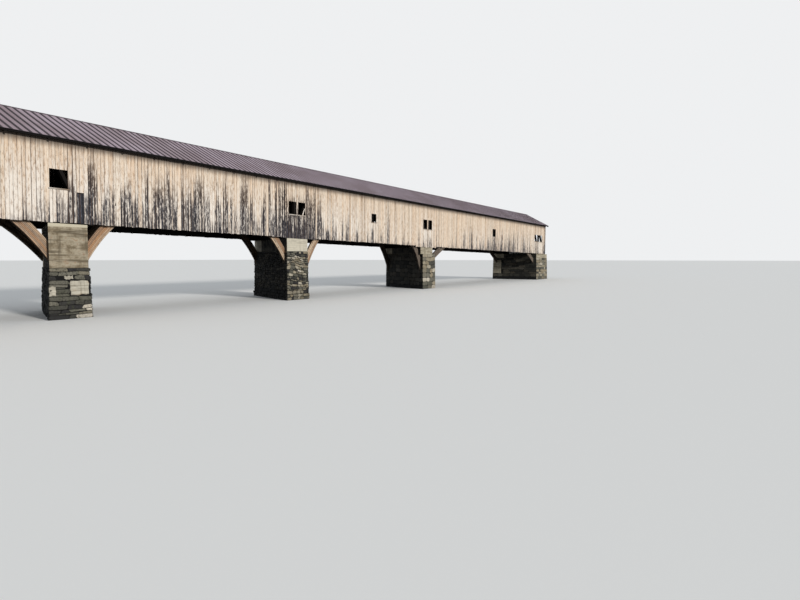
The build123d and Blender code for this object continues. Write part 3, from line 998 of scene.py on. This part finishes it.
arches = {
    "depth": 0.067,
    "inner": 0.318,
    "outer": 0.336,
    "layers": 8,
    "gap": 0.0009,
    "endGap": 0.0004,  # half the gap between two planks of one layer
    "runIn": 0.002,
    "plankLength": 0.46,
    "stepLength": 0.03,
    "cuts": 0.3,  # how far a joint wanders, as a share of a plank
    "slide": (-0.0007, 0.0003),
    "grey": (0.35, 0.3),  # how grey a plank is at most, and what its arch's feet add
    "shade": 0.82,  # how dark the painted shade makes the planks, except on the outer face
    "line": 0.55,  # the painted shade at the lower edge of each plank's outer face
    "greyFrom": 0.9,  # the planks right of here have gone grey
    "greyer": (1.6, 0.35),  # how grey and how dark that makes them
    # on the near face of the siding: the two springing points, the rise and the foot's drop
    "spans": ((-4.945, -3.004, 0.498, 0.225), (-2.759, -0.956, 0.498, 0.225),
              (-0.686, 1.389, 0.69, 0.308), (1.684, 5.215, 0.462, 0.164)),
}


def archCircle(index, side):
    start, stop, rise, drop = arches["spans"][index]
    lean = skewAt(side * (arches["inner"] + arches["outer"]) / 2)
    if index > 0:
        start += lean
    if index < len(arches["spans"]) - 1:
        stop += lean
    half = (stop - start) / 2
    radius = (half * half + rise * rise) / (2 * rise)
    return (start + stop) / 2, rise - drop - radius, radius, half


def makeArch(side, index):
    # planks bent one over the other in eight layers, each cut off upright at the masonry
    centre, level, radius, half = archCircle(index, side)
    draw = random.Random(300 + index * 11 + side).uniform
    shape = newShape("plankMarks")
    thick, gap = arches["depth"] / arches["layers"], arches["gap"] / 2
    wander = arches["cuts"]
    for row in range(arches["layers"]):
        low = radius + row * thick + (gap if row else 0)
        high = radius + (row + 1) * thick - (gap if row < arches["layers"] - 1 else 0)
        sizes, faceAt = (low, high), (arches["outer"], arches["inner"])
        turns = [asin(min(0.9999, (half + arches["runIn"]) / size)) for size in sizes]
        reach = turns[0] * radius
        planks = max(3, round(2 * reach / arches["plankLength"]))
        cuts = [(i + draw(-wander, wander)) / planks * 2 - 1 for i in range(1, planks)]
        for left, right in zip([-1.0] + cuts, cuts + [1.0]):
            seed, grey = draw(0, 1), draw(0.0, arches["grey"][0])
            slide = draw(*arches["slide"])
            steps = max(2, round((right - left) * reach / arches["stepLength"]))
            shrink = arches["endGap"] / reach
            rings = []
            for step in range(steps + 1):
                share = left + shrink + (right - left - 2 * shrink) * step / steps
                rings.append(addRing(shape, [
                    onBridge(centre + sizes[i] * sin(share * turns[i]), side * (faceAt[j] + slide),
                             level + sizes[i] * cos(share * turns[i])) for i, j in square]))
            faces = closeRings(shape, rings)
            outside, lows = set(faces[2::4]), {ring[0] for ring in rings}
            grey += arches["grey"][1] * min(1.0, abs((left + right) / 2) ** 4)
            dark = 0.0
            if centre + (left + right) / 2 * half > arches["greyFrom"]:
                grey += arches["greyer"][0]
                dark = arches["greyer"][1]

            # painted shade: the inside faces, and a line at the lower edge of each outer face; the grey
            # planks' dark is their weathering
            def marksAt(face, vert):
                if face not in outside:
                    return seed, grey, arches["shade"]
                return seed, grey, dark + (arches["line"] if vert in lows else 0.0)

            markCorners(shape, "plankMarks", faces, marksAt)
    name = (sideNames[side], index + 1)
    newPiece("%sArch%d" % name, shape, "arch_timber", archTimber, "%s_arch_%d" % name)


for side in sideNames:
    for index in range(len(arches["spans"])):
        makeArch(side, index)
print("arches made")


bolts = {
    "firstPost": -5.64,
    "postSpacing": 0.24,
    "posts": 48,
    "footClear": 0.05,  # no bolt is nearer than this to an arch's foot
    "fromMiddle": 0.018,
    "washer": (0.0042, 0.0006, 10),  # radius, height and sides
    "head": (0.0028, 0.0024, 6),
}


def addBolt(shape, side, centre, kind, turn):
    # a low prism that stands on the inner face of an arch
    radius, height, sides = bolts[kind]
    along, across, up = centre
    angles = [turn + i * 2 * pi / sides for i in range(sides)]
    closeRings(shape, [addRing(shape, [
        onBridge(along + radius * cos(angle), across - side * depth, up + radius * sin(angle))
        for angle in angles]) for depth in (0.0, height)])


def makeBolts(side):
    # two bolts with washers where each arch crosses a post
    shape = newShape()
    draw = random.Random(900 + side).uniform
    for index in range(len(arches["spans"])):
        centre, level, radius, half = archCircle(index, side)
        middle = radius + arches["depth"] / 2
        for post in range(bolts["posts"]):
            along = bolts["firstPost"] + post * bolts["postSpacing"] - centre
            if abs(along) > half - bolts["footClear"]:
                continue
            angle = asin(along / middle)
            for size in (middle - bolts["fromMiddle"], middle + bolts["fromMiddle"]):
                place = (centre + size * sin(angle), side * arches["inner"], level + size * cos(angle))
                addBolt(shape, side, place, "washer", 0.0)
                addBolt(shape, side, place, "head", draw(0, 1))
    newPiece(sideNames[side] + "ArchBolts", shape, "dark_timber", iron)


for side in sideNames:
    makeBolts(side)
print("bolts made")


def ringOf(name, level, above=0.001, inside=1.0):
    # a node's corners at some level: near left, near right, far right, far left
    points = [v.co for v in nodes[name].data.vertices
              if level - 0.001 < v.co.z < level + above and abs(v.co.y) < inside]
    nearEdge, farEdge = min(p.y for p in points), max(p.y for p in points)
    near = sorted((p for p in points if p.y < nearEdge + 0.001), key=lambda p: p.x)
    far = sorted((p for p in points if p.y > farEdge - 0.001), key=lambda p: p.x)
    return [near[0].copy(), near[-1].copy(), far[-1].copy(), far[0].copy()]


caps = {
    "cell": 0.014,
    "least": 0.03,  # no cap is lower than this
    "arris": 0.0014,  # how far an edge is worn back, and how far down
    "groove": 0.0012,  # half the width of a form line
    "shade": 0.9,  # how dark the painted shade makes the sides under the road
    "paleFrom": 0.2,  # and the place across where they turn pale again
    # finish, roughness, spacing of the form lines, and how deep they are
    "pier_1": (brownConcrete, 0.0016, 0.031, 0.001),
    "pier_2": (smoothConcrete, 0.0005, 0.055, 0.0003),
    "pier_3": (mottledConcrete, 0.0012, 0.077, 0.0),
    "left_abutment": (mottledConcrete, 0.0012, 0.036, 0.0006),
    "right_abutment": (mottledConcrete, 0.0012, 0.034, 0.0006),
}


def makeCap(support):
    # a cast block whose faces are worn a little inside its true outline
    material, rough, spacing, deep = caps[support]
    name = support + "_cap"
    joint = min(v.co.z for v in nodes[name].data.vertices)
    lower, upper = ringOf(name, joint), ringOf(name, joint + caps["least"], above=2.0)
    height = upper[0].z - joint
    cell, arris, groove = caps["cell"], caps["arris"], caps["groove"]
    levels = {0.0, arris, height - arris, height}
    levels.update(cell * i for i in range(1, int(height / cell)))
    grooves = []
    if deep:
        grooves = [spacing * i for i in range(1, int((height - 0.01) / spacing) + 1)]
        levels.update(middle + step for middle in grooves for step in (-groove, 0.0, groove))
    levels = sorted(levels)
    phase = random.Random(len(name) + int(joint * 1000)).uniform(0, 40)
    shape = newShape("castMarks")
    rings = []
    for up in levels:
        points = []
        for i in range(4):
            j = (i + 1) % 4
            before, edge = lower[i] - lower[i - 1], lower[j] - lower[i]
            earlier, inward = [Vector((-way.y, way.x, 0)).normalized() for way in (before, edge)]
            steps = max(2, round(edge.length / cell))
            for step in range(steps):
                share = step / steps
                foot, head = lower[i].lerp(lower[j], share), upper[i].lerp(upper[j], share)
                point = foot.lerp(head, up / height)
                x, y, z = point
                sway = noise.noise(Vector((x * 30, y * 30, z * 40 + phase)))
                grit = noise.noise(Vector((x * 90, y * 90, z * 110 + phase)))
                depth = rough * (0.55 + 0.5 * sway + 0.3 * grit)
                if any(abs(up - middle) < 0.0002 for middle in grooves):
                    depth += deep
                if up in (levels[0], levels[-1]):
                    depth += arris * (1 + sway)
                move = inward if step else inward + earlier
                points.append(point + move * max(0.0, depth))
        rings.append(addRing(shape, points))
    for face in closeRings(shape, rings):
        # painted shade: the sides that look along the bridge are darkened, but not on the banks
        face.normal_update()
        dark = (face.normal.x < -0.7 and support != "left_abutment"
                or face.normal.x > 0.7 and support != "right_abutment")
        under = dark and face.calc_center_median().y < caps["paleFrom"]
        markFaces(shape, "castMarks", [face], (caps["shade"] if under else 0.0, 0.0, 0.0))
    newPiece(support + "Concrete", shape, "concrete", material, name)


for support in supports:
    makeCap(support)
print("caps made")


# How each wall is laid: the range of heights and lengths of its stones, how far they stand out,
# their tones from dark to pale, the widest joint, how much the courses wave and drift, and how
# dark the near, right, far and left faces are made by damp and painted shade, under the road most
wallWords = ("courses", "lengths", "proud", "tones", "joint", "wave", "drift", "dampAndShade")
walls = {
    "left_abutment": ((0.03, 0.05), (0.06, 0.14), (0.001, 0.003), (0.15, 0.8),
                      0.0024, 0.005, 0.01, (0.0, 0.75, 0.0, 0.1)),
    "pier_1": ((0.01, 0.028), (0.04, 0.14), (0.001, 0.008), (0.0, 0.55),
               0.0026, 0.006, 0.012, (0.05, 0.85, 0.05, 0.85)),
    "pier_2": ((0.014, 0.03), (0.02, 0.062), (0.002, 0.008), (0.0, 0.85),
               0.004, 0.009, 0.022, (0.05, 0.85, 0.05, 0.85)),
    "pier_3": ((0.04, 0.058), (0.06, 0.125), (0.001, 0.004), (0.2, 0.95),
               0.0036, 0.007, 0.012, (0.0, 0.85, 0.0, 0.85)),
    "right_abutment": ((0.03, 0.05), (0.06, 0.14), (0.001, 0.003), (0.15, 0.85),
                       0.0024, 0.005, 0.01, (0.0, 0.1, 0.0, 0.75)),
}
# Rough concrete spread over a face: wall, face, its range along the face and up it, and
# how far it stands out
spreads = (
    ("pier_1", 0, (0.128, 0.246), (0.142, 0.227), 0.006),
    ("pier_1", 0, (0.0, 0.038), (0.142, 0.197), 0.006),
    ("pier_1", 0, (0.092, 0.146), (0.24, 0.258), 0.003),
    ("right_abutment", 3, (0.004, 0.152), (0.1, 0.33), 0.004),
)
spreadFinish = {"pier_1": paleConcrete, "right_abutment": mottledConcrete}
# Single stones of another tone: wall, face, place along and up the face, and the tone
oddStones = (
    ("pier_2", 0, 0.168, 0.205, 1.0),
    ("pier_1", 0, 0.252, 0.015, 1.0),
    ("pier_1", 0, 0.252, 0.045, 1.0),
    ("pier_1", 0, 0.25, 0.08, 0.9),
)
# The wider foot of the second pier: its top, the joint in it, and how far across the wall
# over it reaches at most
footing = {
    "wall": "pier_2",
    "top": 0.051,
    "joint": 0.026,
    "inside": 0.382,
}


class WallFace:
    # one flat face of a wall, measured in metres from its lower left corner
    def __init__(self, lowLeft, lowRight, highRight, highLeft):
        self.corners = (lowLeft, lowRight, highRight, highLeft)
        self.width = ((lowRight - lowLeft).length + (highRight - highLeft).length) / 2
        self.height = ((highLeft - lowLeft).length + (highRight - lowRight).length) / 2
        self.outward = (lowRight - lowLeft).cross(highLeft - lowLeft).normalized()

    def at(self, along, up, out):
        lowLeft, lowRight, highRight, highLeft = self.corners
        share = along / self.width
        point = lowLeft.lerp(lowRight, share).lerp(highLeft.lerp(highRight, share), up / self.height)
        point = point + self.outward * out
        point.z = max(point.z, 0.0002)
        return point


def addStone(shape, draw, face, outline, proud, marks):
    # a closed stone over an outline on the face: a foot, a shoulder, a crown and a middle
    middle = [sum(p[i] for p in outline) / len(outline) for i in (0, 1)]
    tilt = [draw(-0.25, 0.25) for _ in (0, 1)]
    span, rise = [max(abs(p[i] - middle[i]) for p in outline) for i in (0, 1)]
    rings = []
    for share, out in ((1.0, -0.0006), (0.985, 0.55), (0.86, 1.0)):
        narrow = 1 - share
        inset = narrow * min(1.0, 0.012 / span) * 2.2
        points = []
        for along, up in outline:
            lean = 1 + tilt[0] * (along - middle[0]) / span + tilt[1] * (up - middle[1]) / rise
            depth = out if out < 0 else proud * out * lean * draw(0.85, 1.1)
            points.append(face.at(along + (middle[0] - along) * inset,
                                  up + (middle[1] - up) * narrow, depth))
        rings.append(addRing(shape, points))
    crown = shape.verts.new(face.at(*middle, proud * draw(1.0, 1.2)))
    faces = [shape.faces.new(rings[0])] + joinRings(shape, rings)
    top = rings[-1]
    for i in range(len(top)):
        faces.append(shape.faces.new([top[i], top[(i + 1) % len(top)], crown]))
    markFaces(shape, "stoneMarks", faces, marks)


def courseLines(draw, height, courses):
    # levels of the joints that run along a wall, the same all round it where heights agree
    levels = [0.0]
    while levels[-1] < height:
        levels.append(levels[-1] + draw(*courses))
    if height - levels[-2] < courses[0] * 0.8:
        levels.pop(-2)
    levels[-1] = height
    return levels


def layStones(shape, draw, wallName, side, face, levels):
    # courses of stones with wavy joints between them and leaning joints at their ends
    wall = dict(zip(wallWords, walls[wallName]))
    covered = [spread[2:4] for spread in spreads if spread[:2] == (wallName, side)]
    odd = [stone[2:] for stone in oddStones if stone[:2] == (wallName, side)]
    phase = draw(0, 90)
    top = len(levels) - 1

    def line(row, along):
        # the height of a joint at some place along the face
        if row in (0, top):
            return levels[row]
        sway = noise.noise(Vector((along * 16, row * 5.3, phase)))
        drift = noise.noise(Vector((along * 9, levels[row] * 5, phase + 7)))
        calm = min(1.0, row / 2, (top - row) / 2)
        return levels[row] + wall["wave"] * sway + wall["drift"] * calm * drift

    for row in range(top):
        right = (-0.002, -0.002)
        while right[0] < face.width:
            left = right
            length, lean = draw(*wall["lengths"]), draw(-0.004, 0.004)
            right = (left[0] + length - lean, left[0] + length + lean)
            if face.width - max(right) < wall["lengths"][0] * 0.7:
                right = (face.width + 0.002, face.width + 0.002)
            gap = wall["joint"] * draw(0.6, 1.0) / 2
            x, y = (left[0] + right[0]) / 2, (line(row, left[0]) + line(row + 1, left[0])) / 2
            if any(along[0] < x < along[1] and up[0] < y < up[1] for along, up in covered):
                continue
            cut = draw(0.12, 0.32) * (levels[row + 1] - levels[row])
            outline = []
            for i, j in square:
                along, inX, inY = (left, right)[i][j], 1 - 2 * i, 1 - 2 * j
                level = line(row + j, along)
                flat = (along + inX * (gap + cut), level + inY * gap)
                steep = (along + inX * gap, level + inY * (gap + cut * draw(0.5, 1)))
                outline += [steep, flat] if i == j else [flat, steep]
            tone = draw(*wall["tones"])
            for along, up, other in odd:
                if left[0] < along < right[0] and line(row, along) < up < line(row + 1, along):
                    tone = other
            # painted shade from the face's value, and real damp near the foot
            dampAndShade = wall["dampAndShade"][side] + max(0.0, 1 - levels[row] / 0.05) * 0.25
            proud = draw(*wall["proud"])
            addStone(shape, draw, face, outline, proud, (draw(0, 1), tone, dampAndShade))


def addSpread(shape, draw, face, along, up, out):
    # concrete with a ragged edge over part of a face
    corners = [(along[i], up[j]) for i, j in square]
    outline = []
    for (x, y), (nextX, nextY) in zip(corners, corners[1:] + corners[:1]):
        for step in range(5):
            share = step / 5
            outline.append((x + (nextX - x) * share + draw(-0.004, 0.004),
                            y + (nextY - y) * share + draw(-0.004, 0.004)))
    addStone(shape, draw, face, outline, out, (draw(0, 1), 1.0, 0.0))


def facesOf(lower, upper):
    return [WallFace(lower[i], lower[(i + 1) % 4], upper[(i + 1) % 4], upper[i]) for i in range(4)]


def makeWall(wallName):
    name = wallName + "_stone"
    top = max(v.co.z for v in nodes[name].data.vertices)
    draw = random.Random(len(wallName) * 31 + int(top * 1000)).uniform
    lower, upper = ringOf(name, 0.0), ringOf(name, top)
    shape = newShape("stoneMarks")
    if wallName == footing["wall"]:
        for side, face in enumerate(facesOf(lower, ringOf(name, footing["top"]))):
            layStones(shape, draw, wallName, side, face, [0.0, footing["joint"], face.height])
        lower = ringOf(name, footing["top"], inside=footing["inside"])
    faces = facesOf(lower, upper)
    levels = courseLines(draw, faces[0].height, walls[wallName][0])
    for side, face in enumerate(faces):
        scale = face.height / levels[-1]
        layStones(shape, draw, wallName, side, face, [level * scale for level in levels])
    newPiece(wallName + "Stones", shape, "stone", rubble)
    if wallName in spreadFinish:
        patches = newShape("stoneMarks")
        for spread in spreads:
            if spread[0] == wallName:
                addSpread(patches, draw, faces[spread[1]], *spread[2:])
        newPiece(wallName + "Patches", patches, "concrete", spreadFinish[wallName])


for wallName in walls:
    makeWall(wallName)
print("stones laid")


# Finishes of the CAD nodes that stay as they are
keptFinishes = {
    "stone": jointStone, "bearing": floorTimber, "bottom_chord": floorTimber,
    "top_chord": darkTimber, "truss_web": darkTimber, "rails": darkTimber,
    "rafters": crossTimber, "tie_beams": crossTimber, "floor_beams": crossTimber,
    "stringers": floorTimber, "ridge_cap": roofSeam, "window_sills": sillBoards,
}

for name, node in nodes.items():
    material = next((keptFinishes[key] for key in keptFinishes if key in name), None)
    for materialSlot in node.material_slots if material else ():
        materialSlot.material = material
print("kept nodes dressed")


floorLook = {
    "half": 90.0,
    "seen": (0.84, 0.84, 0.83),
    "lighting": (0.2, 0.2, 0.2),  # what it throws back on the bridge
}


def makeFloor():
    shape = newShape()
    half = floorLook["half"]
    shape.faces.new(addRing(shape, [((2 * i - 1) * half, (2 * j - 1) * half, 0) for i, j in square]))
    f = Finish("paleFloor", {}, gloss=0.5)
    f.put(0.9, f.shader.inputs["Roughness"])
    path = f.node("LightPath", out="Is Camera Ray")
    f.put(f.mix(path, floorLook["lighting"], floorLook["seen"]), f.shader.inputs["Base Color"])
    newObject("floor", shape, f.material)


sky = {"light": (0.9, 0.95, 1.0), "strength": 0.52, "seen": (0.86, 0.87, 0.88)}


def makeSky():
    world = bpy.data.worlds.new("paleRoom")
    scene.world = world
    world.use_nodes = True
    f = NodeTree(world.node_tree)
    light = f.node("Background", {"Color": sky["light"], "Strength": sky["strength"]})
    seen = f.node("Background", {"Color": sky["seen"], "Strength": 1.0})
    both = f.node("MixShader", {0: f.node("LightPath", out="Is Camera Ray"), 1: light, 2: seen})
    f.put(both, world.node_tree.nodes["World Output"].inputs["Surface"])


sun = {
    "toward": (-0.2, -0.9, 0.29),
    "energy": 3.0,
    "angle": radians(7),
    "colour": (1.0, 0.965, 0.91),
}


def makeSun():
    lamp = bpy.data.lights.new("softSun", "SUN")
    lamp.energy = sun["energy"]
    lamp.angle = sun["angle"]
    lamp.color = sun["colour"]
    holder = bpy.data.objects.new("softSun", lamp)
    holder.rotation_euler = Vector(sun["toward"]).to_track_quat("Z", "Y").to_euler()
    scene.collection.objects.link(holder)


cameraPlace = {
    "from": (-5.085, -4.06, 0.365),
    "yaw": radians(31.75),
    "pitch": radians(3.8),
    "focal": 633.6 / 800,  # as a share of the picture's width
    "sensor": 36.0,
    "clip": 500.0,
}


def makeCamera():
    lens = bpy.data.cameras.new("camera")
    lens.sensor_width = cameraPlace["sensor"]
    lens.lens = cameraPlace["focal"] * cameraPlace["sensor"]
    lens.clip_end = cameraPlace["clip"]
    camera = bpy.data.objects.new("camera", lens)
    camera.location = cameraPlace["from"]
    yaw, pitch = cameraPlace["yaw"], cameraPlace["pitch"]
    ahead = Vector((cos(yaw) * cos(pitch), sin(yaw) * cos(pitch), -sin(pitch)))
    camera.rotation_euler = ahead.to_track_quat("-Z", "Y").to_euler()
    scene.collection.objects.link(camera)
    scene.camera = camera


makeFloor()
makeSky()
makeSun()
makeCamera()
scene.view_settings.view_transform = "Standard"
print("stage, light and camera made")
